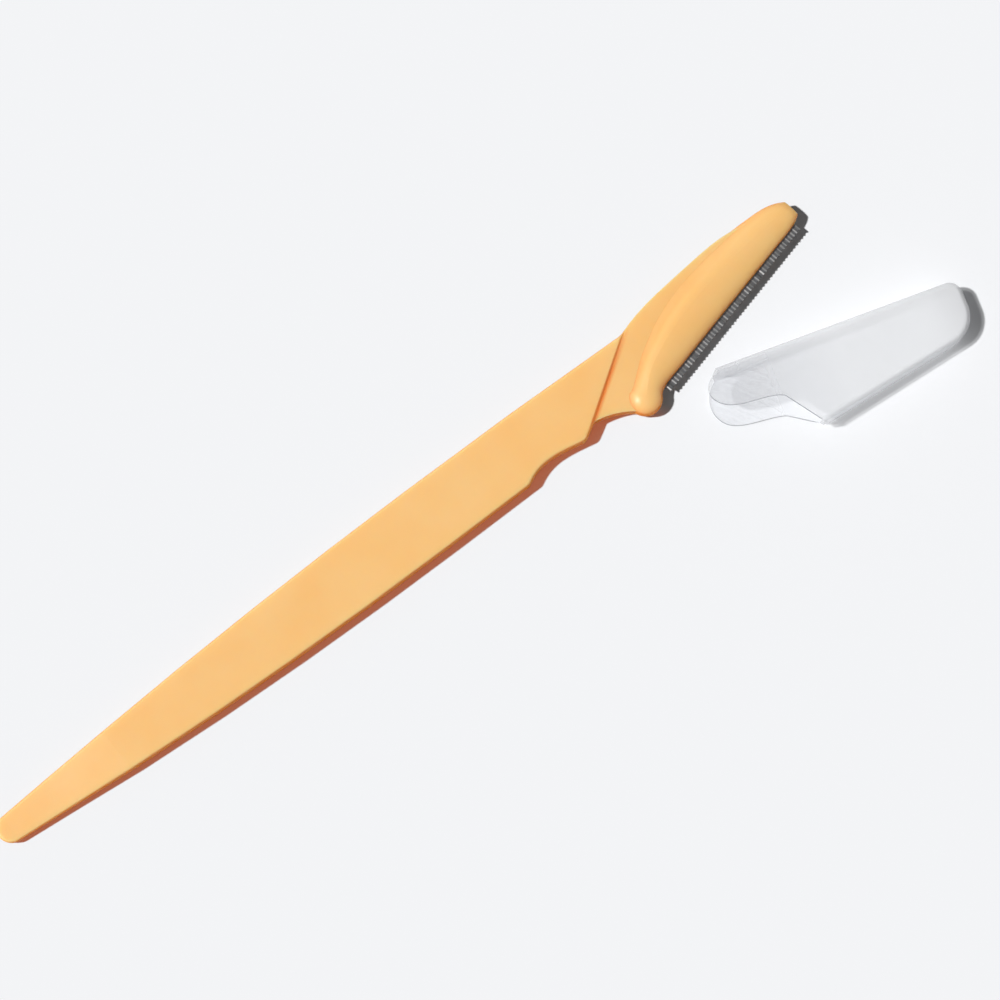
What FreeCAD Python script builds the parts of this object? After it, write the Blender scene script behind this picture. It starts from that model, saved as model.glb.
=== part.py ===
import FreeCAD, Part
import math
import os

from FreeCAD import Placement, Rotation, Vector

# Eyebrow razor with its cap taken off.
# While it is built, X runs along the grip from tail to head, Y points to the razor's back, away from the
# cutting edge, and Z = 0 is the middle plane that the blade lies in. The head has its own axes: S along the
# blade from its lower end to the tip, N from the line where blade and plastic meet towards the back.

# Driving dimensions, in millimetres, with angles in degrees

# Grip: a flat stick with small edge rounds, narrow and thin at the tail
grip_length = 109.0
grip_width = 10.0
grip_thickness = 3.05
tail_thickness = 1.3
tail_radius = 2.0
edge_round = 0.35
neck_straight = 1.5

# Sections of the grip: place as a share of its length, back edge and belly edge as shares of its width from
# the axis, and thickness as a share of the full thickness
tail_centre_share = 0.025
grip_section_shares = [
    (0.09, 0.273, -0.243, 0.57),
    (0.18, 0.323, -0.330, 0.87),
    (0.30, 0.385, -0.413, 0.98),
    (0.42, 0.429, -0.468, 1.0),
    (0.54, 0.455, -0.499, 0.98),
    (0.66, 0.462, -0.508, 0.95),
    (0.775, 0.452, -0.504, 0.91),
]

# Neck: points of its outline as shares of the grip's length and width. The finger hollow ends in a bump,
# and a step leads from the bump to the notch where the thin neck starts.
corner_round = 1.3
notch_round = 0.8
shoulder_round = 3.0
neck_arch = 0.55
belly_end_share = 0.7917
back_edge_shares = [(0.9, 0.425), (1.0, 0.396)]
finger_hollow_shares = [(0.805, -0.435), (0.820, -0.396), (0.847, -0.405), (0.883, -0.479)]
notch_shares = (0.9054, -0.342)
crease_end_shares = (0.9965, 0.325)

# Head: a web that thins from the back to the blade, with a thick bead along the blade
blade_angle_degrees = 14.2
blade_length = 29.5
head_lead = 0.46
head_drop = 5.34
head_width = 9.37
web_back_thickness = 2.3
web_front_thickness = 2.0
web_sink = 0.1
crease_slope_degrees = 42.0

# Points of the head's back edge, as shares of the blade's length and of the head's width
head_back_shares = [(0.214, 0.985), (0.409, 0.91), (0.597, 0.815), (0.77, 0.675), (0.831, 0.58)]

# Bead, with the round knob at its lower end
bead_width = 7.0
bead_thickness = 4.0
lip_thickness = 1.2
knob_thickness = 3.6
knob_radius = 2.4
knob_drop = 1.33
knob_set_back = 2.9
knob_lean_degrees = 26.0
arch_end_shares = (-0.66, -0.52)
tip_overhang = 1.5

# Bead sections from the knob to the tip: S and N of the blade side, then S and N of the back side, as shares
# of the blade's length and of the bead's width, then the crest's place across as a share from the blade side,
# the crest's height as a share of the full one, and how round the back is, from 0, faired in, to 1, a quarter
# of an ellipse
bead_section_shares = [
    (-0.032, -0.055, -0.051, 0.59, 0.52, 0.93, 0.7),
    (0.010, 0.0, 0.020, 0.74, 0.54, 0.96, 0.4),
    (0.102, 0.0, 0.109, 0.88, 0.56, 0.99, 0.15),
    (0.237, 0.0, 0.237, 1.02, 0.56, 1.0, 0.05),
    (0.373, 0.0, 0.373, 1.08, 0.55, 1.0, 0.0),
    (0.509, 0.0, 0.509, 1.07, 0.54, 0.97, 0.05),
    (0.645, 0.0, 0.645, 1.01, 0.53, 0.92, 0.3),
    (0.780, 0.0, 0.780, 0.9, 0.52, 0.86, 0.7),
    (0.882, 0.0, 0.882, 0.79, 0.52, 0.82, 1.0),
]
crest_full_share = 0.373

# Sections that close the tip: S of both sides as shares of the overhang from the blade's end, N as shares of
# the bead's width, then the crest's place and height as above
tip_section_shares = [
    (-0.73, 0.0, -0.73, 0.68, 0.52, 0.78),
    (0.25, 0.03, 0.27, 0.56, 0.5, 0.7),
    (0.8, 0.08, 0.95, 0.43, 0.48, 0.48),
]
quarter_round_share = 0.5523
fair_reach_share = 0.5
fair_rise_share = 0.15
middle_share = 0.5

# Blade: a hardened strip, held by plastic posts that fill its anchor holes
blade_thickness = 0.25
blade_exposed = 0.9
blade_buried = 2.8
blade_bevel = 0.88
blade_edge = 0.02
blade_end_gap = 0.15
anchor_diameter = 1.3
anchor_depth = 1.85
anchor_count = 2

# Guard: foil folded over the edge and slit into fingers
guard_foil = 0.08
guard_fit = 0.02
guard_nose_gap = 0.02
guard_leg = 1.0
guard_pitch = 0.58
guard_slit = 0.38

# Cap: a sheath over bead, knob and blade that thins towards its closed end
cap_wall = 0.5
cap_clearance = 0.22
cap_headroom = 0.4
cap_end_gap = 0.85
cap_length = 38.35
cap_taper_degrees = 10.8
cap_wedge_degrees = 1.3
cap_edge_round = 0.9
cap_front_corner = 1.9
cap_back_corner = 4.4

# Mouth of the cap: the lip of each face, as shares of the cap's length from its tongue and of its mouth's
# width from the blade side. One lip is cut back, the other reaches further over the neck. Each is a smooth
# curve up to its last point but one, and straight from there across the cap's back.
cap_mouth_width = 12.5
wall_end_shares = (0.06, 0.07)
short_lip_shares = [(0.018, 0.13), (0.003, 0.25), (0.035, 0.405), (0.118, 0.485), (0.257, 0.56), (0.36, 1.0)]
long_lip_shares = [(0.034, 0.15), (0.013, 0.35), (0.044, 0.56), (0.12, 0.65), (0.263, 0.72), (0.4, 1.0)]

# How the cap lies beside the razor, turned over: place of its outer front corner and angle of its front
cap_rest_along = 116.0
cap_rest_across = -7.92
cap_rest_angle_degrees = -16.3

# Overrun of every cutting body past what it cuts
overrun = 2.0

# Values worked out from the driving dimensions

UP = Vector(0, 0, 1)
ORIGIN = Vector(0, 0, 0)
angle_tolerance = math.radians(0.1)
grip_half = grip_thickness / 2
neck_half = grip_half * grip_section_shares[-1][-1]
tail_half = tail_thickness / 2
bead_half = bead_thickness / 2
knob_half = knob_thickness / 2
lip_half = lip_thickness / 2
web_fall = (web_back_thickness - web_front_thickness) / 2 / head_width
crease_level = (web_back_thickness + web_front_thickness) / 4
guard_inner_half = blade_thickness / 2 + guard_fit
guard_inner_nose = blade_exposed + guard_nose_gap
guard_inner_tip = blade_edge / 2 + guard_fit
cap_end = blade_length + tip_overhang + cap_end_gap
cap_tongue = cap_end + cap_wall - cap_length
cap_front = -knob_drop - cap_clearance - cap_wall
HEAD = Placement(Vector(grip_length + head_lead, -head_drop, 0), Rotation(UP, blade_angle_degrees))


def along_grip(shares):
    """Point of the grip's outline from its two shares."""
    return Vector(shares[0] * grip_length, shares[1] * grip_width, 0)


def along_head(shares, width):
    """Point in the head's own axes from its shares of the blade's length and of a width."""
    return Vector(shares[0] * blade_length, shares[1] * width, 0)


def line(first, last):
    """Straight edge between two points."""
    return Part.LineSegment(first, last).toShape()


def polyline(points):
    """Straight edges from point to point."""
    return [line(a, b) for a, b in zip(points, points[1:])]


def spline(points, start=None):
    """Smooth edge through the points, leaving the first one in the start direction where that is given."""
    curve = Part.BSplineCurve()
    if start is None:
        curve.interpolate(Points=points)
    else:
        flags = [True] + [False] * (len(points) - 1)
        curve.interpolate(Points=points, Tangents=[start] * len(points), TangentFlags=flags)
    return curve.toShape()


def bezier(poles):
    """Edge along a Bezier curve with the given poles."""
    curve = Part.BezierCurve()
    curve.setPoles(poles)
    return curve.toShape()


def quarter(first, corner, last):
    """Quarter of an ellipse from first to last, drawn towards the corner between them."""
    pulls = [p + (corner - p) * quarter_round_share for p in (first, last)]
    return bezier([first, *pulls, last])


def prism(edges, low, high):
    """Solid between two heights over a closed plan outline."""
    face = Part.Face(Part.Wire(Part.__sortEdges__(edges)))
    face.translate(UP * low)
    return face.extrude(UP * (high - low))


def upright_edges_at(solid, points):
    """The vertical edges of a prism that stand nearest to the given plan points."""
    upright = [e for e in solid.Edges if e.tangentAt(e.FirstParameter).isParallel(UP, angle_tolerance)]
    nearest = []
    for point in points:
        spot = Part.Vertex(point)
        nearest.append(min(upright, key=lambda edge: edge.distToShape(spot)[0]))
    return nearest


def grip_section(x, belly, back, half):
    """Rectangle across the grip from the belly edge to the back edge, with its corners rounded."""
    corners = [Vector(x, y, z) for y, z in ((back, half), (belly, half), (belly, -half), (back, -half))]
    edges = []
    for before, corner, after in zip(corners[-1:] + corners, corners, corners[1:] + corners[:1]):
        arrive = (corner - before).normalize() * edge_round
        leave = (after - corner).normalize() * edge_round
        bulge = corner - arrive + leave + (arrive - leave) * math.sqrt(middle_share)
        edges.append(Part.Arc(corner - arrive, bulge, corner + leave).toShape())
        edges.append(line(corner + leave, after - leave))
    return Part.Wire(edges)


def grip():
    """The stick from the tail to the finger hollow: a loft, and half a disc that rounds the tail."""
    centre = Vector(tail_radius, tail_centre_share * grip_width, 0)
    tail = grip_section(centre.x, centre.y - tail_radius, centre.y + tail_radius, tail_half)
    sections = [tail]
    for along, back, belly, thickness in grip_section_shares:
        place = along * grip_length
        sections.append(grip_section(place, belly * grip_width, back * grip_width, thickness * grip_half))
    corner = centre - Vector(overrun, 0, tail_thickness)
    back_half = Part.makeBox(2 * overrun, 2 * tail_radius, 2 * tail_thickness, corner)
    disc = Part.Face(tail).common(back_half).Faces[0].revolve(centre, UP, 180)
    return [Part.makeLoft(sections, True, True), disc]


def knob_centre():
    """Middle of the knob in the head's axes."""
    return Vector(-knob_set_back, knob_radius - knob_drop, 0)


def knob_side():
    """Direction from the knob's centre to its blade side, square to the way the bead leaves it."""
    lean = math.radians(knob_lean_degrees)
    return Vector(math.sin(lean), -math.cos(lean), 0)


def arch_end():
    """Where the neck's lower edge runs into the knob, within the knob."""
    return HEAD.multVec(knob_centre() + Vector(*arch_end_shares, 0) * knob_radius)


def neck_outline():
    """Edges of the outline of neck and head that show: the back edge, then the belly edge."""
    along, back, belly, _ = grip_section_shares[-1]
    back_start = along_grip((along, back))
    back_bend = back_start + Vector(neck_straight, 0, 0)
    back_points = [back_bend] + [along_grip(s) for s in back_edge_shares]
    head_points = back_points[-1:] + [HEAD.multVec(along_head(s, head_width)) for s in head_back_shares]
    belly_end = along_grip((belly_end_share, belly))
    hollow_points = [belly_end] + [along_grip(s) for s in finger_hollow_shares]
    notch, end = along_grip(notch_shares), arch_end()
    bow = UP.cross(end - notch).normalize() * neck_arch
    return [
        line(back_start, back_bend),
        spline(back_points, Vector(1, 0, 0)),
        spline(head_points),
        line(along_grip((along, belly)), belly_end),
        spline(hollow_points),
        line(hollow_points[-1], notch),
        Part.Arc(notch, (notch + end) * middle_share + bow, end).toShape(),
    ]


def neck_blank():
    """Neck and web as one flat blank with rounded edges, before the web is thinned."""
    along, back, belly, _ = grip_section_shares[-1]
    shown = neck_outline()
    tip_inside = along_head(head_back_shares[-1], head_width)
    hidden = polyline([
        HEAD.multVec(tip_inside),
        HEAD.multVec(Vector(tip_inside.x, bead_width * middle_share, 0)),
        HEAD.multVec(Vector(0, bead_width * middle_share, 0)),
        HEAD.multVec(knob_centre()),
        arch_end(),
    ])
    hidden.append(line(along_grip((along, back)), along_grip((along, belly))))
    blank = prism(shown + hidden, -neck_half, neck_half)
    outward = [along_grip((belly_end_share, belly)), along_grip(finger_hollow_shares[-1])]
    blank = blank.makeFillet(corner_round, upright_edges_at(blank, outward))
    blank = blank.makeFillet(notch_round, upright_edges_at(blank, [along_grip(notch_shares)]))
    blank = blank.makeFillet(shoulder_round, upright_edges_at(blank, [along_grip(back_edge_shares[-1])]))
    return round_shown_edges(blank, shown)


def round_shown_edges(blank, shown):
    """Round the edges of both flat faces wherever they follow the shown outline."""
    outline = Part.Compound(shown)
    picked = []
    for edge in blank.Edges:
        middle = edge.valueAt((edge.FirstParameter + edge.LastParameter) / 2)
        flat = Part.Vertex(Vector(middle.x, middle.y, 0))
        if abs(middle.z) > neck_half / 2 and flat.distToShape(outline)[0] < corner_round * middle_share:
            picked.append(edge)
    return blank.makeFillet(edge_round, picked)


def web_half(n):
    """Half the web's thickness at a distance N from the blade line."""
    return web_front_thickness / 2 + n * web_fall


def web_recess():
    """What is cut away above the web: up to a sloped crease across the neck, down to a floor that falls."""
    start, end = along_grip(notch_shares), along_grip(crease_end_shares)
    run = (end - start).normalize()
    side = UP.cross(run)
    reach = grip_length
    wires = []
    for level in (0, bead_thickness):
        shift = side * ((level - crease_level) / math.tan(math.radians(crease_slope_degrees)))
        foot = start - run * reach + shift + UP * level
        far = start + run * reach + shift + UP * level
        points = [foot, far, far - side * reach, foot - side * reach]
        wires.append(Part.makePolygon(points + points[:1]))
    beyond_crease = Part.makeLoft(wires, True, True)
    low, high = -2 * head_width, 2 * head_width
    floor = [Vector(-reach, n, web_half(n)) for n in (low, high)]
    roof = [Vector(-reach, n, grip_length) for n in (high, low)]
    above = Part.Face(Part.makePolygon(floor + roof + floor[:1])).extrude(Vector(2 * reach, 0, 0))
    above.Placement = HEAD
    return beyond_crease.common(above)


def bead_flank(crest, back, half, root, roundness):
    """Poles of a bead section's back, from its crest to its root: faired in, round, or between the two."""
    top, low = crest + UP * half, back + UP * root
    fall = UP * (half - root)
    fair = (crest - back) * fair_reach_share + fall * fair_rise_share
    pull = fair + (fall * quarter_round_share - fair) * roundness
    return [top, top + (back - crest) * quarter_round_share, low + pull, low]


def bead_section(front, back, crest_share, half, roundness):
    """Upright section of the bead between two plan points, alike above and below the blade."""
    crest = front + (back - front) * crest_share
    faired_root = web_half(back.y) - web_sink
    root = faired_root + (lip_half - faired_root) * roundness
    flank = bead_flank(crest, back, half, root, roundness)
    below = [Vector(p.x, p.y, -p.z) for p in reversed(flank)]
    lip, top = UP * lip_half, UP * half
    return Part.Wire([
        quarter(front + lip, front + top, crest + top),
        bezier(flank),
        line(flank[-1], below[0]),
        bezier(below),
        quarter(crest - top, front - top, front - lip),
        line(front - lip, front + lip),
    ])


def knob_end():
    """Half round end of the bead: half of the knob's section turned about its middle."""
    centre, rim = knob_centre(), knob_centre() + knob_side() * knob_radius
    lip, top = UP * lip_half, UP * knob_half
    edges = [
        quarter(centre + top, rim + top, rim + lip),
        line(rim + lip, rim - lip),
        quarter(rim - lip, rim - top, centre - top),
        line(centre - top, centre + top),
    ]
    return Part.Face(Part.Wire(edges)).revolve(centre, UP, -180)


def bead():
    """Bead in the head's axes: smooth through its sections, with a round knob and a blunt tip."""
    knob, reach = knob_centre(), knob_side() * knob_radius
    sections = [bead_section(knob + reach, knob - reach, middle_share, knob_half, 1)]
    for front_s, front_n, back_s, back_n, crest, height, roundness in bead_section_shares:
        front = along_head((front_s, front_n), bead_width)
        back = along_head((back_s, back_n), bead_width)
        sections.append(bead_section(front, back, crest, height * bead_half, roundness))
    for front_s, front_n, back_s, back_n, crest, height in tip_section_shares:
        front = Vector(blade_length + front_s * tip_overhang, front_n * bead_width, 0)
        back = Vector(blade_length + back_s * tip_overhang, back_n * bead_width, 0)
        sections.append(bead_section(front, back, crest, height * bead_half, 1))
    return Part.makeLoft(sections, True, False).fuse(knob_end())


def blade():
    """Blade in the head's axes: flat strip, ground to an edge on both faces, with anchor holes."""
    half, edge = blade_thickness / 2, blade_edge / 2
    outline = [
        Vector(blade_end_gap, blade_buried, half),
        Vector(blade_end_gap, blade_bevel - blade_exposed, half),
        Vector(blade_end_gap, -blade_exposed, edge),
    ]
    strip = mirrored_strip(outline)
    pitch = blade_length / anchor_count
    for index in range(anchor_count):
        foot = Vector((index + middle_share) * pitch, anchor_depth, -blade_thickness)
        strip = strip.cut(Part.makeCylinder(anchor_diameter / 2, 2 * blade_thickness, foot))
    return strip


def mirrored_strip(upper):
    """Strip along the blade whose section has the given points above the middle plane, and the same below."""
    outline = upper + [Vector(p.x, p.y, -p.z) for p in reversed(upper)]
    run = Vector(blade_length - 2 * blade_end_gap, 0, 0)
    return Part.Face(Part.makePolygon(outline + outline[:1])).extrude(run)


def guard_fold(grow):
    """Solid within the folded foil: its hollow where grow is zero, its outside where grow is the foil."""
    half, nose, tip = guard_inner_half + grow, guard_inner_nose + grow, guard_inner_tip + grow
    return mirrored_strip([
        Vector(blade_end_gap, guard_leg, half),
        Vector(blade_end_gap, blade_bevel - blade_exposed, half),
        Vector(blade_end_gap, -nose, tip),
    ])


def guard():
    """Guard in the head's axes: the folded foil with a slit between each finger and the next."""
    fold = guard_fold(guard_foil).cut(guard_fold(0))
    count = int((blade_length - 2 * blade_end_gap) / guard_pitch)
    first = (blade_length - (count - 1) * guard_pitch - guard_slit) / 2
    depth = guard_inner_nose + guard_foil + overrun
    reach = blade_thickness + guard_foil + overrun
    slits = []
    for index in range(count):
        corner = Vector(first + index * guard_pitch, -depth, -reach)
        slits.append(Part.makeBox(guard_slit, depth - guard_fit, 2 * reach, corner))
    return fold.cut(Part.Compound(slits))


def handle():
    """The moulding: grip, neck and bead in one, with the seats of the blade and the guard."""
    recess = web_recess()
    neck = neck_blank().cut([recess, recess.mirror(ORIGIN, UP)])
    head = bead()
    seats = [blade(), guard_fold(guard_foil)]
    for piece in [head] + seats:
        piece.Placement = HEAD
    return neck.fuse(grip() + [head]).cut(seats).removeSplitter()


def cap_half(s):
    """Half the height of the cap's hollow at a place along it, which falls towards the closed end."""
    slope = math.tan(math.radians(cap_wedge_degrees))
    return bead_half + cap_headroom + (crest_full_share * blade_length - s) * slope


def cap_block(grow):
    """Closed wedge round the head, larger than the cap's hollow by grow on every side but the mouth's."""
    front = cap_front + cap_wall - grow
    start, end = cap_tongue - 2 * overrun, cap_end + grow
    slope = math.tan(math.radians(cap_taper_degrees))
    back_at_zero = max(s * blade_length * slope + n * head_width for s, n in head_back_shares)
    back_at_zero += (cap_clearance + grow) * math.hypot(1, slope)
    corners = [
        Vector(start, front, 0),
        Vector(end, front, 0),
        Vector(end, back_at_zero - end * slope, 0),
        Vector(start, back_at_zero - start * slope, 0),
    ]
    tallest = cap_half(start) + grow + overrun
    block = prism(polyline(corners + corners[:1]), -tallest, tallest)
    block = block.makeFillet(cap_front_corner - cap_wall + grow, upright_edges_at(block, corners[1:2]))
    block = block.makeFillet(cap_back_corner - cap_wall + grow, upright_edges_at(block, corners[2:3]))
    side = [Vector(s, -cap_length, cap_half(s) + grow) for s in (start - overrun, end + overrun)]
    side += [Vector(p.x, p.y, -p.z) for p in reversed(side)]
    return block.common(Part.Face(Part.makePolygon(side + side[:1])).extrude(Vector(0, 2 * cap_length, 0)))


def along_mouth(shares):
    """Point of the cap's mouth in the head's axes from its two shares."""
    return Vector(cap_tongue + shares[0] * cap_length, cap_front + shares[1] * cap_mouth_width, 0)


def mouth_cut(lip_shares, low, high):
    """What the mouth takes off one half of the cap: all that lies before a lip's curve."""
    wall_end = along_mouth(wall_end_shares)
    *lip, back = [wall_end] + [along_mouth(s) for s in lip_shares]
    far_back = lip[-1] + (back - lip[-1]).normalize() * cap_length
    away = cap_tongue - cap_length
    around = [
        lip[-1],
        far_back,
        Vector(away, far_back.y, 0),
        Vector(away, cap_front - overrun, 0),
        Vector(wall_end.x, cap_front - overrun, 0),
        wall_end,
    ]
    return prism([spline(lip)] + polyline(around), low, high)


def cap():
    """Cap in the head's axes, as it sits on the head."""
    outside = cap_block(cap_wall)
    broad = [f for f in outside.Faces if abs(f.normalAt(0, 0).dot(UP)) > middle_share]
    rims = [edge for face in broad for edge in face.OuterWire.Edges]
    shell = outside.makeFillet(cap_edge_round, rims).cut(cap_block(0))
    reach = cap_half(cap_tongue - cap_length) + cap_wall
    return shell.cut([mouth_cut(short_lip_shares, -reach, 0), mouth_cut(long_lip_shares, 0, reach)])


def laid_cap():
    """The cap turned over about its length and laid beside the razor, flat on the same surface."""
    shape = cap()
    corner = Vector(cap_tongue + wall_end_shares[0] * cap_length, cap_front, 0)
    turned = Rotation(Vector(1, 0, 0), 180)
    levelled = Rotation(Vector(0, 1, 0), cap_wedge_degrees)
    turn = Rotation(UP, cap_rest_angle_degrees).multiply(levelled).multiply(turned)
    shape.Placement = Placement(Vector(cap_rest_along, cap_rest_across, 0) - turn.multVec(corner), turn)
    shape.translate(UP * -shape.optimalBoundingBox(False, False).ZMin)
    return shape


def razor_rest(moulding):
    """Placement that lays the razor down: it rests on the bead and on the lowest place of the grip."""
    touch = HEAD.multVec(along_head((crest_full_share, middle_share), bead_width))
    halves = [(along * grip_length, thickness * grip_half) for along, _, _, thickness in grip_section_shares]
    pitch = min(math.atan2(bead_half - half, touch.x - place) for place, half in halves)
    tilted = moulding.copy()
    tilted.Placement = Placement(ORIGIN, Rotation(Vector(0, 1, 0), -math.degrees(pitch)))
    return Placement(UP * -tilted.optimalBoundingBox(False, False).ZMin, tilted.Placement.Rotation)


def placed_pieces():
    """Every piece where it lies, with the origin on that surface, under the middle of them all."""
    pieces = {"handle": handle(), "blade": blade(), "guard": guard(), "cap": laid_cap()}
    rest = razor_rest(pieces["handle"])
    pieces["handle"].Placement = rest
    pieces["blade"].Placement = rest.multiply(HEAD)
    pieces["guard"].Placement = rest.multiply(HEAD)
    box = Part.Compound(list(pieces.values())).optimalBoundingBox(False, False)
    for shape in pieces.values():
        shape.translate(Vector(-box.Center.x, -box.Center.y, -box.ZMin))
    return pieces


def main():
    os.makedirs("parts", exist_ok=True)
    for name, shape in placed_pieces().items():
        shape.exportStep(f"parts/{name}.step")
        print(name, len(shape.Solids), "solid,", round(shape.Volume, 2), "cubic mm")


if __name__ == "__main__":
    main()
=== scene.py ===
# %% [markdown]
# # An eyebrow razor and its cap
# The object is a throw-away eyebrow razor lying on a pale table, with its milky cap pulled off beside it.
# Four pieces make it up: an orange handle moulded round a steel blade, a slit steel foil folded over the
# cutting edge as a guard, and the cap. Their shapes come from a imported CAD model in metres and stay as
# they are. All four are rigid and true, so no piece is rebuilt. This lesson gives each surface the finish
# of its real material, then sets table, light and camera.

import math

import bpy
import numpy as np
from mathutils import Matrix, Vector


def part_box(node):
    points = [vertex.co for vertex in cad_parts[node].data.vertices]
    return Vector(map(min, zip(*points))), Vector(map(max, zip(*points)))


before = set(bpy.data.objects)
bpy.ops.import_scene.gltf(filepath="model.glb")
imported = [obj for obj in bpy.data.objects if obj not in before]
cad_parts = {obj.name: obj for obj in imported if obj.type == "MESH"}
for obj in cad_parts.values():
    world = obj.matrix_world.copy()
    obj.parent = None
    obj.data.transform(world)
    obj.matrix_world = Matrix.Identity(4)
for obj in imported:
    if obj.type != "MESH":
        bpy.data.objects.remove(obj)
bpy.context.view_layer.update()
scene = bpy.context.scene
scene.view_settings.view_transform = "Standard"
MM = 0.001
print("nodes:", sorted(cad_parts))

# %% [markdown]
# ## Colours and nodes
# Colours are easiest to pick as the hex values that a paint program shows. Blender's sockets want linear
# light, so one function turns hex to linear. A second one adds a node, sets its options and fills its
# sockets. Nodes could be placed by hand in the editor instead, but written down, each material below reads
# from top to bottom. A third function starts an empty material.


# %% Colours
def linear(hex_colour):
    """Linear RGBA of an sRGB hex colour: the inverse of the sRGB curve, channel by channel."""
    channels = np.array([int(hex_colour[i:i + 2], 16) for i in (1, 3, 5)]) / 255
    curve = np.where(channels <= 0.04045, channels / 12.92, ((channels + 0.055) / 1.055) ** 2.4)
    return (*curve.tolist(), 1.0)


print("middle grey in linear light:", [round(channel, 3) for channel in linear("#808080")])

# %% Nodes
# A Mix node keeps its sockets for numbers, vectors and colours side by side, under the same names. These
# are the numbers of the three that a mix of two colours uses.
SHARE = 0
FROM_COLOUR = 6
TO_COLOUR = 7


def add(tree, kind, inputs=None, stops=None, **settings):
    """Adds a node: settings go to its options, and inputs to its sockets, by name or by number.

    An input is a value, a socket to link, or a node, which stands for its first output in use. Stops are
    the places and hex colours of a colour ramp, and replace the two that it starts with.
    """
    node = tree.nodes.new(kind)
    for name, value in settings.items():
        setattr(node, name, value)
    if stops:
        (first_place, first_colour), *later = stops.items()
        ramp = node.color_ramp.elements
        ramp.remove(ramp[-1])
        ramp[0].position = first_place
        ramp[0].color = linear(first_colour)
        for place, hex_colour in later:
            ramp.new(place).color = linear(hex_colour)
    for name, value in (inputs or {}).items():
        if isinstance(value, bpy.types.Node):
            value = next(output for output in value.outputs if output.enabled)
        if isinstance(value, bpy.types.NodeSocket):
            tree.links.new(value, node.inputs[name])
        else:
            node.inputs[name].default_value = value
    return node


def new_material(name):
    """An empty node material and its tree."""
    material = bpy.data.materials.new(name)
    material.use_nodes = True
    material.node_tree.nodes.clear()
    return material, material.node_tree


plain = {name: len(node.data.materials) for name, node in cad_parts.items()}
print("plain materials on the pieces:", plain)

# %% [markdown]
# ## Orange plastic: the melt
# The handle is moulded polypropylene, coloured all through. Where the melt flowed and cooled, its skin keeps
# slow changes of tone and gloss, about a centimetre long. A single flat colour would look like paint, so
# one soft noise moves both a little.

# %% Tone and gloss of the melt
FLOW_LENGTH = 9 * MM


def melt(tree, coords):
    """Colour and roughness of the moulded skin, both moved by one slow noise."""
    flow = add(tree, "ShaderNodeTexNoise", {"Vector": coords, "Scale": 1 / FLOW_LENGTH, "Detail": 2.0})
    tone = add(tree, "ShaderNodeValToRGB", {"Fac": flow}, stops={0.3: "#FFC681", 0.7: "#FFCB8A"})
    gloss = add(tree, "ShaderNodeMapRange", {"Value": flow, "To Min": 0.3, "To Max": 0.38})
    return tone, gloss


print("tone and gloss change over", round(FLOW_LENGTH / MM, 2), "mm")

# %% [markdown]
# ## Orange plastic: painted shade on side walls
# Light that leaves a side wall has crossed more plastic than light from the top face, so the walls look a
# deeper orange. Scattering under the surface gives only part of that, so the rest is painted shade: a deeper
# orange laid on the walls. It could be painted on by place, but the direction that a surface faces finds
# every wall by itself.

# %% Level faces and side walls
# Height of the unit normal on a face that counts as level, and on one that counts as upright.
LEVEL_NORMAL = 0.96
UPRIGHT_NORMAL = 0.3


def level(tree, normal):
    """How level a surface lies: 1 where it faces straight up or down, 0 where it stands upright."""
    parts = add(tree, "ShaderNodeSeparateXYZ", {"Vector": normal})
    return add(tree, "ShaderNodeMath", {0: parts.outputs["Z"]}, operation="ABSOLUTE")


def side_walls(tree):
    """Share of side wall in a surface: 0 on level faces, 1 on upright ones, rising evenly between them."""
    normal = add(tree, "ShaderNodeNewGeometry").outputs["Normal"]
    return add(tree, "ShaderNodeMapRange", {
        "Value": level(tree, normal), "From Min": LEVEL_NORMAL, "From Max": UPRIGHT_NORMAL})


print("walls start", round(math.degrees(math.acos(LEVEL_NORMAL))), "degrees off level")

# %% [markdown]
# ## Orange plastic: painted glow in the crease
# The grip steps down to the thinner neck in a slanting crease. Its two faces light each other through the
# plastic, so it glows deep orange at the cutting side and fades towards the back. So fine a line gets too
# little of that from scattering alone, so the glow is painted on: a deeper orange follows the crease. Its
# two ends are measured from the lowest corner of the blade's box, which lies near by.

# %% Crease between grip and neck
blade_x, blade_y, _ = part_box("blade")[0]
crease_start = Vector((blade_x - 9.55 * MM, blade_y + 3.25 * MM, 0))
crease_end = Vector((blade_x + 1.25 * MM, blade_y + 10.35 * MM, 0))
crease = crease_end - crease_start
crease_turn = math.atan2(crease.y, crease.x)
CREASE_REACH = 0.6 * MM


def painted_crease_glow(tree, coords):
    """Strength of the crease's painted glow: it falls smoothly to 0 at its reach and fades along its far
    half.
    """
    turn_back = Matrix.Rotation(-crease_turn, 3, "Z")
    laid = add(tree, "ShaderNodeMapping", {
        "Vector": coords, "Rotation": (0, 0, -crease_turn), "Location": -(turn_back @ crease_start)})
    place = add(tree, "ShaderNodeSeparateXYZ", {"Vector": laid})
    beside = add(tree, "ShaderNodeMath", {0: place.outputs["Y"]}, operation="ABSOLUTE")
    near = add(tree, "ShaderNodeMapRange", {
        "Value": beside, "From Max": CREASE_REACH, "To Min": 1.0, "To Max": 0.0},
        interpolation_type="SMOOTHSTEP")
    fade = add(tree, "ShaderNodeMapRange", {
        "Value": place.outputs["X"], "From Min": crease.length, "From Max": crease.length / 2,
        "To Min": 0.15, "To Max": 0.85})
    return add(tree, "ShaderNodeMath", {0: near, 1: fade}, operation="MULTIPLY")


print("crease:", round(crease.length / MM, 1), "mm long")

# %% [markdown]
# ## Orange plastic: light through it
# Lamp light gets through the thin grip and turns its shadow orange. The bead at the head is thicker and
# holds the blade, so its shadow is nearly black. Real transmission takes many samples to come out clean.
# Here shadow rays alone pass the plastic, and each of the two faces that they cross tints them.

# %% Light through plastic
HEAD_START = blade_x - 5 * MM
HEAD_FULL = blade_x - 1 * MM


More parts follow.
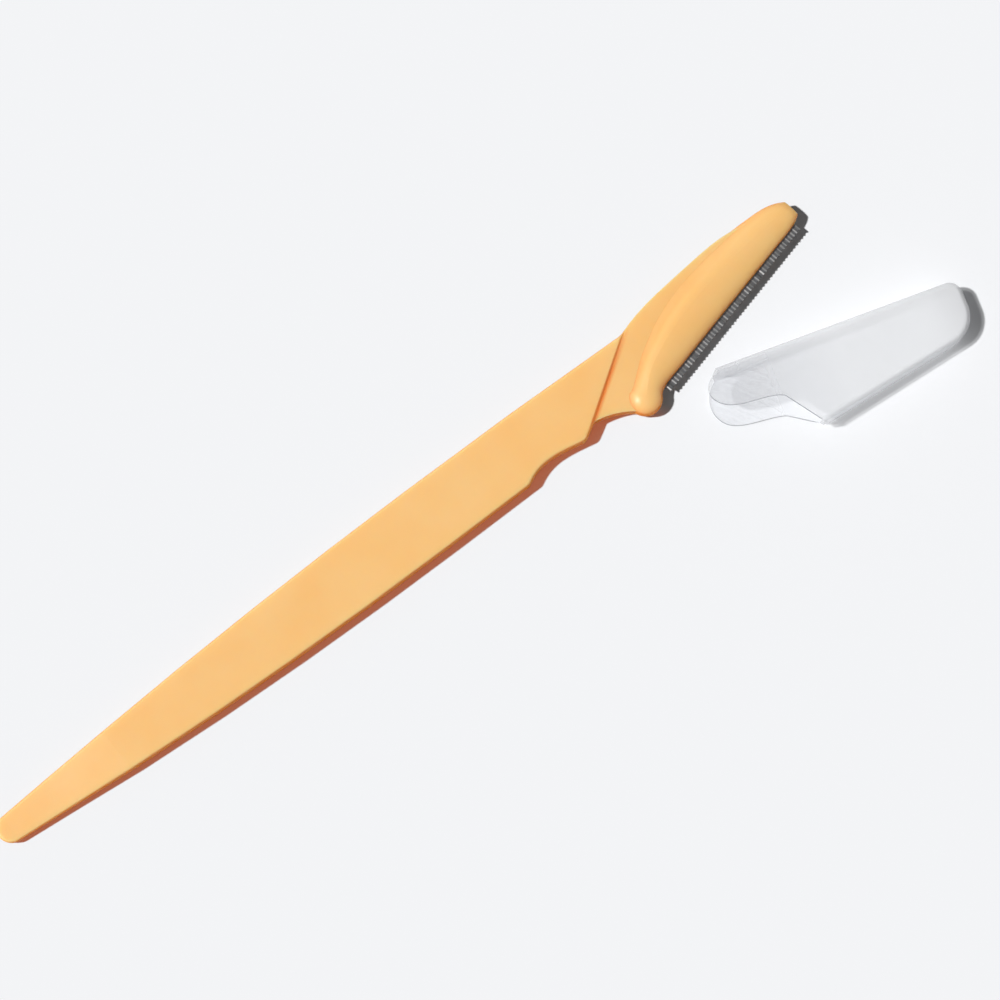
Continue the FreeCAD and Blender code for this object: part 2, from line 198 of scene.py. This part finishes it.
def let_lamp_through(tree, surface, tint):
    """Ends a material: shadow rays pass the piece and take the tint, and all other rays see its surface."""
    path = add(tree, "ShaderNodeLightPath")
    through = add(tree, "ShaderNodeBsdfTransparent", {"Color": tint})
    both = add(tree, "ShaderNodeMixShader", {0: path.outputs["Is Shadow Ray"], 1: surface, 2: through})
    add(tree, "ShaderNodeOutputMaterial", {"Surface": both})


def handle_tint(tree, coords):
    """What a face of the handle lets through: orange in the grip, next to nothing in the head."""
    place = add(tree, "ShaderNodeSeparateXYZ", {"Vector": coords})
    head = add(tree, "ShaderNodeMapRange", {
        "Value": place.outputs["X"], "From Min": HEAD_START, "From Max": HEAD_FULL})
    return add(tree, "ShaderNodeMix", {
        SHARE: head, FROM_COLOUR: linear("#CE8919"), TO_COLOUR: linear("#383019")}, data_type="RGBA")


print("shadow darkens over", round((HEAD_FULL - HEAD_START) / MM, 1), "mm before the blade")

# %% [markdown]
# ## Orange plastic: the whole finish
# Light sinks about a millimetre into the plastic and comes out beside where it went in, which softens every
# edge. A diffuse colour can't do that, so the shader scatters under the surface. Two of its habits need a
# remedy. Glossy walls mirror the sky in a pale streak, so the walls are matt. Rays that bounced off the
# table see plain paint instead of scattering and would turn the table pink, so they alone see a dull brown.

# %% Moulded polypropylene
# The real mould's grain is finer than a pixel. It is drawn this coarse so that it shows.
GRAIN_WIDTH = 0.35 * MM
GRAIN_HEIGHT = 0.02 * MM
SCATTER_DEPTH = 1.4 * MM
POLYPROPYLENE_IOR = 1.49


def moulded_polypropylene():
    """Satin polypropylene, orange all through, with painted deeper orange on walls and crease: it glows warm
    at its edges and shines softly on its knob.
    """
    material, tree = new_material("moulded_polypropylene_orange")
    coords = add(tree, "ShaderNodeTexCoord").outputs["Object"]
    tone, gloss = melt(tree, coords)
    walls = side_walls(tree)
    # Side walls get a deeper orange: painted shade for light that reaches them through the plastic.
    painted_wall_shade = add(tree, "ShaderNodeMix", {
        SHARE: walls, FROM_COLOUR: tone, TO_COLOUR: linear("#EC8432")}, data_type="RGBA")
    # The crease gets a painted glow, a deeper orange for light that its faces throw on each other.
    colour = add(tree, "ShaderNodeMix", {
        SHARE: painted_crease_glow(tree, coords), FROM_COLOUR: painted_wall_shade, TO_COLOUR: linear("#F2903F")},
        data_type="RGBA")
    path = add(tree, "ShaderNodeLightPath")
    seen = add(tree, "ShaderNodeMix", {
        SHARE: path.outputs["Is Diffuse Ray"], FROM_COLOUR: colour, TO_COLOUR: linear("#816C59")},
        data_type="RGBA")
    skin = add(tree, "ShaderNodeMapRange", {"Value": walls, "To Min": gloss, "To Max": 0.85})
    grain = add(tree, "ShaderNodeTexNoise", {"Vector": coords, "Scale": 1 / GRAIN_WIDTH, "Detail": 3.0})
    bump = add(tree, "ShaderNodeBump", {"Height": grain, "Strength": 0.05, "Distance": GRAIN_HEIGHT})
    shader = add(tree, "ShaderNodeBsdfPrincipled", {
        "Base Color": seen,
        "Roughness": skin,
        "IOR": POLYPROPYLENE_IOR,
        "Specular IOR Level": 0.25,
        "Subsurface Weight": 1.0,
        "Subsurface Radius": (1.0, 1.0, 1.0),
        "Subsurface Scale": SCATTER_DEPTH,
        "Normal": bump,
    })
    let_lamp_through(tree, shader, handle_tint(tree, coords))
    return material


orange_plastic = moulded_polypropylene()
print(orange_plastic.name, "has", len(orange_plastic.node_tree.nodes), "nodes")

# %% [markdown]
# ## Ground steel
# The blade is a hardened stainless strip, ground to its edge. The wheel leaves fine lines across the strip.
# They could be anisotropic gloss, but a noise that is stretched across the strip shows single lines too.
# Real ones are far finer than a pixel, so they are drawn a quarter of a millimetre apart, which is as
# coarse as they need to be to show. The blade leans back from the line of the grip, and so do they.

# %% Ground stainless steel
BLADE_TURN = math.radians(14.2)
LINE_SPACING = 0.25 * MM
LINE_DEPTH = 0.01 * MM
LINE_STRETCH = 20


def along_blade(tree, scale):
    """Object coordinates turned until X runs along the blade, then scaled.

    A Mapping node scales before it turns, so turning and scaling take one node each.
    """
    coords = add(tree, "ShaderNodeTexCoord").outputs["Object"]
    turned = add(tree, "ShaderNodeMapping", {"Vector": coords, "Rotation": (0, 0, -BLADE_TURN)})
    return add(tree, "ShaderNodeMapping", {"Vector": turned, "Scale": scale})


def ground_stainless_steel():
    """Ground stainless strip: a dark mirror with fine lines across, so it looks mid grey under one lamp."""
    material, tree = new_material("ground_stainless_steel")
    stretched = along_blade(tree, (1.0, 1 / LINE_STRETCH, 1.0))
    lines = add(tree, "ShaderNodeTexNoise", {"Vector": stretched, "Scale": 1 / LINE_SPACING})
    bump = add(tree, "ShaderNodeBump", {"Height": lines, "Strength": 0.2, "Distance": LINE_DEPTH})
    shader = add(tree, "ShaderNodeBsdfPrincipled", {
        "Base Color": linear("#B4B4B6"),
        "Metallic": 1.0,
        "Roughness": 0.36,
        "Normal": bump,
    })
    add(tree, "ShaderNodeOutputMaterial", {"Surface": shader})
    return material


blade_steel = ground_stainless_steel()
print(blade_steel.name, "has", len(blade_steel.node_tree.nodes), "nodes")

# %% [markdown]
# ## Rolled foil
# The guard is rolled stainless foil, slit into fingers and folded over the edge. No two fingers are bent
# quite alike, so each one throws the lamp back a little differently, and the row looks like uneven bright
# ticks. Bending each finger's mesh would change the CAD shape. A noise about as long as the step from one
# finger to the next changes gloss and tone instead: a rough finger spreads the lamp's light and looks
# bright, and a smooth one mirrors the dim sky. The changing tone is painted reflection, standing in for
# fingers that face the lamp at different angles.

# %% Rolled stainless foil
FINGER_STEP = 0.6 * MM


def rolled_stainless_foil():
    """Rolled stainless foil: bright, with a gloss and a painted reflection tone that change from finger to
    finger.
    """
    material, tree = new_material("rolled_stainless_foil")
    lengthwise = along_blade(tree, (1.0, 0.0, 0.0))
    bends = add(tree, "ShaderNodeTexNoise", {"Vector": lengthwise, "Scale": 1 / FINGER_STEP})
    gloss = add(tree, "ShaderNodeMapRange", {
        "Value": bends, "From Min": 0.35, "From Max": 0.65, "To Min": 0.28, "To Max": 0.6})
    # Painted reflection: brighter and darker fingers stand in for fingers bent towards or away from the lamp.
    shine = add(tree, "ShaderNodeValToRGB", {"Fac": bends}, stops={0.35: "#A2A2A0", 0.65: "#F2F2F0"})
    shader = add(tree, "ShaderNodeBsdfPrincipled", {
        "Base Color": shine,
        "Metallic": 1.0,
        "Roughness": gloss,
    })
    add(tree, "ShaderNodeOutputMaterial", {"Surface": shader})
    return material


guard_foil = rolled_stainless_foil()
print(guard_foil.name, "has", len(guard_foil.node_tree.nodes), "nodes")

# %% [markdown]
# ## Milky cap: its length
# The cap is natural polypropylene, a half-millimetre wall without pigment. It is clearest at its open mouth
# and whitest at its closed end, where the end wall adds to the others. So its finish changes along its
# length. The cap lies at an angle of its own, and the spread of its points along that direction tells where
# it begins and ends. Its plain box could not, because the cap lies askew in it.

# %% Length of the cap
CAP_TURN = math.radians(-16.3)


def spread(node, turn):
    """Least and greatest distance of the node's points along the direction turned that far from +X."""
    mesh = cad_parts[node].data
    points = np.empty(len(mesh.vertices) * 3)
    mesh.vertices.foreach_get("co", points)
    along = points.reshape(-1, 3) @ np.array([math.cos(turn), math.sin(turn), 0.0])
    return along.min(), along.max()


cap_start, cap_end = spread("cap", CAP_TURN)
print("cap runs", round((cap_end - cap_start) / MM, 2), "mm from its mouth to its closed end")

# %% [markdown]
# ## Milky cap: painted shade on the cut lips
# The mouth is cut on a slant and leaves two lips. On a cut face the eye looks along the wall, through
# millimetres of plastic, which looks dark, so the lips are drawn as grey lines of painted shade. Tracing
# them as curves would add pieces that aren't there. The cut faces can be told by the way they look, out of
# the mouth, and by their place.

# %% Cut faces of the mouth
MOUTH_TURN = CAP_TURN - math.radians(110)
mouth_side = (math.cos(MOUTH_TURN), math.sin(MOUTH_TURN), 0.0)
# The lips end at this share of the cap's length, and no cut comes this near to its back.
LIP_END_SHARE = 0.345
BACK_WALL = 1.6 * MM
cap_front, cap_back = spread("cap", CAP_TURN + math.pi / 2)


def cut_lips(tree, reach, across, normal):
    """1 on faces that look out of the mouth, lie before the lips' end and clear of the back wall, else 0."""
    outwards = add(tree, "ShaderNodeVectorMath", {0: normal, 1: mouth_side}, operation="DOT_PRODUCT")
    facing = add(tree, "ShaderNodeMapRange", {"Value": outwards, "From Min": 0.2, "From Max": 0.5})
    early = add(tree, "ShaderNodeMath", {0: reach, 1: LIP_END_SHARE}, operation="LESS_THAN")
    clear = add(tree, "ShaderNodeMath", {0: across, 1: cap_back - BACK_WALL}, operation="LESS_THAN")
    lip = add(tree, "ShaderNodeMath", {0: early, 1: clear}, operation="MULTIPLY")
    return add(tree, "ShaderNodeMath", {0: facing, 1: lip}, operation="MULTIPLY")


print("cap is", round((cap_back - cap_front) / MM, 2), "mm wide")

# %% [markdown]
# ## Milky cap: light through it
# Most of the lamp's light passes the thin wall, so the cap has a pale shadow. Upright walls stand in the
# light's way for longer and take a little more, and the closed end, with its rounded corners, takes most.
# As with the handle, this holds for shadow rays alone. The grey that they take follows the length.

# %% Light through the cap
CLOSED_END_TINT = "#B8B8B8"


def cap_tint(tree, reach, normal):
    """What a wall of the cap lets through: most of the light, less when upright, least at the closed end."""
    passed = add(tree, "ShaderNodeValToRGB", {"Fac": reach}, stops={
        0.3: "#F1F1F1", 0.45: "#ECECEC", 0.86: "#EBEBEB", 1.0: CLOSED_END_TINT})
    steep = add(tree, "ShaderNodeMapRange", {
        "Value": level(tree, normal), "From Min": 0.3, "From Max": 0.7, "To Min": 0.82, "To Max": 1.0})
    return add(tree, "ShaderNodeVectorMath", {0: passed, "Scale": steep}, operation="SCALE")


print("light past one wall at the closed end:", round(linear(CLOSED_END_TINT)[0], 2))

# %% [markdown]
# ## Milky cap: the whole finish
# The wall lets part of the light straight through and scatters the rest, so it looks like thin ice. Glass
# that bends light would be too clear and take long to render. A white surface that is partly see-through
# gives the milk, and how much of it shows rises with the cube of the length, late and fast. The true normal
# is read, because the smoothed one leans over at the rounded corners and finds cut faces that aren't there.


# %% Natural polypropylene
def natural_polypropylene():
    """Thin milky polypropylene: part clear, part white, denser towards its closed end, with painted shade at
    its mouth and on its grey cut lips.
    """
    material, tree = new_material("natural_polypropylene_milky")
    coords = add(tree, "ShaderNodeTexCoord").outputs["Object"]
    turned = add(tree, "ShaderNodeMapping", {"Vector": coords, "Rotation": (0, 0, -CAP_TURN)})
    place = add(tree, "ShaderNodeSeparateXYZ", {"Vector": turned})
    reach = add(tree, "ShaderNodeMapRange", {
        "Value": place.outputs["X"], "From Min": cap_start, "From Max": cap_end})
    normal = add(tree, "ShaderNodeNewGeometry").outputs["True Normal"]
    cut = cut_lips(tree, reach, place.outputs["Y"], normal)
    late = add(tree, "ShaderNodeMath", {0: reach, 1: 3.0}, operation="POWER")
    milk = add(tree, "ShaderNodeMapRange", {"Value": late, "To Min": 0.3, "To Max": 0.6})
    solid = add(tree, "ShaderNodeMapRange", {"Value": cut, "To Min": milk, "To Max": 0.95})
    # The white is darker at the mouth and a little darker at the closed end than in the middle: painted shade
    # against the extra lamp light that reaches those zones.
    white = add(tree, "ShaderNodeValToRGB", {"Fac": reach}, stops={
        0.1: "#D4D6DA", 0.5: "#F0F1F3", 0.9: "#E8E9EB"})
    # Cut faces get a grey: painted shade for the dark look of a cut wall seen edge-on.
    colour = add(tree, "ShaderNodeMix", {
        SHARE: cut, FROM_COLOUR: white, TO_COLOUR: linear("#8D9196")}, data_type="RGBA")
    shader = add(tree, "ShaderNodeBsdfPrincipled", {
        "Base Color": colour,
        "Roughness": 0.35,
        "IOR": POLYPROPYLENE_IOR,
        "Alpha": solid,
    })
    let_lamp_through(tree, shader, cap_tint(tree, reach, normal))
    return material


milky_plastic = natural_polypropylene()
print(milky_plastic.name, "has", len(milky_plastic.node_tree.nodes), "nodes")

# %% [markdown]
# ## Dressing the pieces
# The CAD pieces come in plain colours. Each mesh keeps its shape, and only its list of materials is emptied
# and filled again, because a material that is added after the plain one would not be used by any face.

# %% Dress the pieces
finishes = {
    "handle": orange_plastic,
    "blade": blade_steel,
    "guard": guard_foil,
    "cap": milky_plastic,
}
for node, material in finishes.items():
    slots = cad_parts[node].data.materials
    slots.clear()
    slots.append(material)
print("dressed:", {node: material.name for node, material in finishes.items()})

# %% [markdown]
# ## Table
# The razor lies on a plain pale table. A modelled board would only add edges that the picture doesn't show.
# A single square far larger than the picture is enough. Its matt paint has no shine of its own, because the
# table's work is to carry the shadows.

# %% Table
TABLE_HALF = 1.5


def pale_table():
    """A flat square round the origin, its four corners at plus and minus half its side, in metres."""
    corners = TABLE_HALF * np.array([(-1, -1, 0), (1, -1, 0), (1, 1, 0), (-1, 1, 0)], dtype=float)
    mesh = bpy.data.meshes.new("table")
    mesh.from_pydata(corners.tolist(), [], [(0, 1, 2, 3)])
    material, tree = new_material("matt_painted_board")
    shader = add(tree, "ShaderNodeBsdfDiffuse", {"Color": linear("#EFF0F2")})
    add(tree, "ShaderNodeOutputMaterial", {"Surface": shader})
    mesh.materials.append(material)
    table = bpy.data.objects.new("table", mesh)
    scene.collection.objects.link(table)
    return table


print("table side:", [round(size, 2) for size in pale_table().dimensions[:2]], "m")

# %% [markdown]
# ## Light
# One lamp stands to the left of the picture and a little below it, high enough for short shadows. An area
# lamp would fade across the table, so it is a sun. Its disc is a few degrees wide, so shadows are crisp
# where they touch and soften with height. A dim white sky fills them. Together they give a level patch of
# table about as much light as its colour needs to render as it is written.

# %% Lamp
GRIP_TURN = math.radians(37.3)
image_right = Vector((math.cos(GRIP_TURN), -math.sin(GRIP_TURN), 0))
image_up = Vector((math.sin(GRIP_TURN), math.cos(GRIP_TURN), 0))
LAMP_HEIGHT = math.radians(58)
LAMP_WIDTH = math.radians(3)
# The lamp stands this far below the picture for each step to its left.
LAMP_BELOW_SHARE = 0.12
# Light on a level surface, where 1 renders it in its own colour: all of it, and the sky's part.
TABLE_LIGHT = 1.04
SKY_LIGHT = 0.10
lamp_side = (-image_right - LAMP_BELOW_SHARE * image_up).normalized()
lamp_towards = lamp_side * math.cos(LAMP_HEIGHT) + Vector((0, 0, math.sin(LAMP_HEIGHT)))
lamp_data = bpy.data.lights.new("key", "SUN")
# A sun of strength pi, straight above, lights a level surface to just its own colour.
lamp_data.energy = (TABLE_LIGHT - SKY_LIGHT) * math.pi / math.sin(LAMP_HEIGHT)
lamp_data.angle = LAMP_WIDTH
lamp = bpy.data.objects.new("key", lamp_data)
lamp.rotation_euler = lamp_towards.to_track_quat("Z", "Y").to_euler()
scene.collection.objects.link(lamp)
print("lamp strength:", round(lamp_data.energy, 2))

# %% Sky
world = bpy.data.worlds.new("studio")
world.use_nodes = True
background = world.node_tree.nodes["Background"]
background.inputs["Color"].default_value = linear("#FFFFFF")
background.inputs["Strength"].default_value = SKY_LIGHT
scene.world = world
print("sky strength:", SKY_LIGHT)

# %% [markdown]
# ## Camera
# The picture was taken from nearly straight above, so the camera tilts by nine degrees only. It is turned so
# that the grip rises from the lower left to the upper right. A constraint could aim it, but three directions
# at right angles, the picture's right, its up and the way back to the camera, set its turn directly. The
# lens follows from how much of the table the picture shows.

# %% Camera
# The camera aims at the point of the table in the middle of the picture. The sensor alone is in millimetres.
AIM = Vector((blade_x - 26.9 * MM, blade_y + 2.3 * MM, 0))
TILT = math.radians(9)
DISTANCE = 0.45
FIELD_WIDTH = 0.138
SENSOR_WIDTH = 36
NEAREST = 0.01
FARTHEST = 10
back = Vector((0, 0, math.cos(TILT))) - image_up * math.sin(TILT)
up = image_up * math.cos(TILT) + Vector((0, 0, math.sin(TILT)))
turn = Matrix((image_right, up, back)).transposed()
camera_data = bpy.data.cameras.new("camera")
camera_data.sensor_width = SENSOR_WIDTH
camera_data.lens = SENSOR_WIDTH * DISTANCE / FIELD_WIDTH
camera_data.clip_start = NEAREST
camera_data.clip_end = FARTHEST
camera = bpy.data.objects.new("camera", camera_data)
camera.matrix_world = Matrix.Translation(AIM + back * DISTANCE) @ turn.to_4x4()
scene.collection.objects.link(camera)
scene.camera = camera
print("lens:", round(camera_data.lens, 1), "mm")
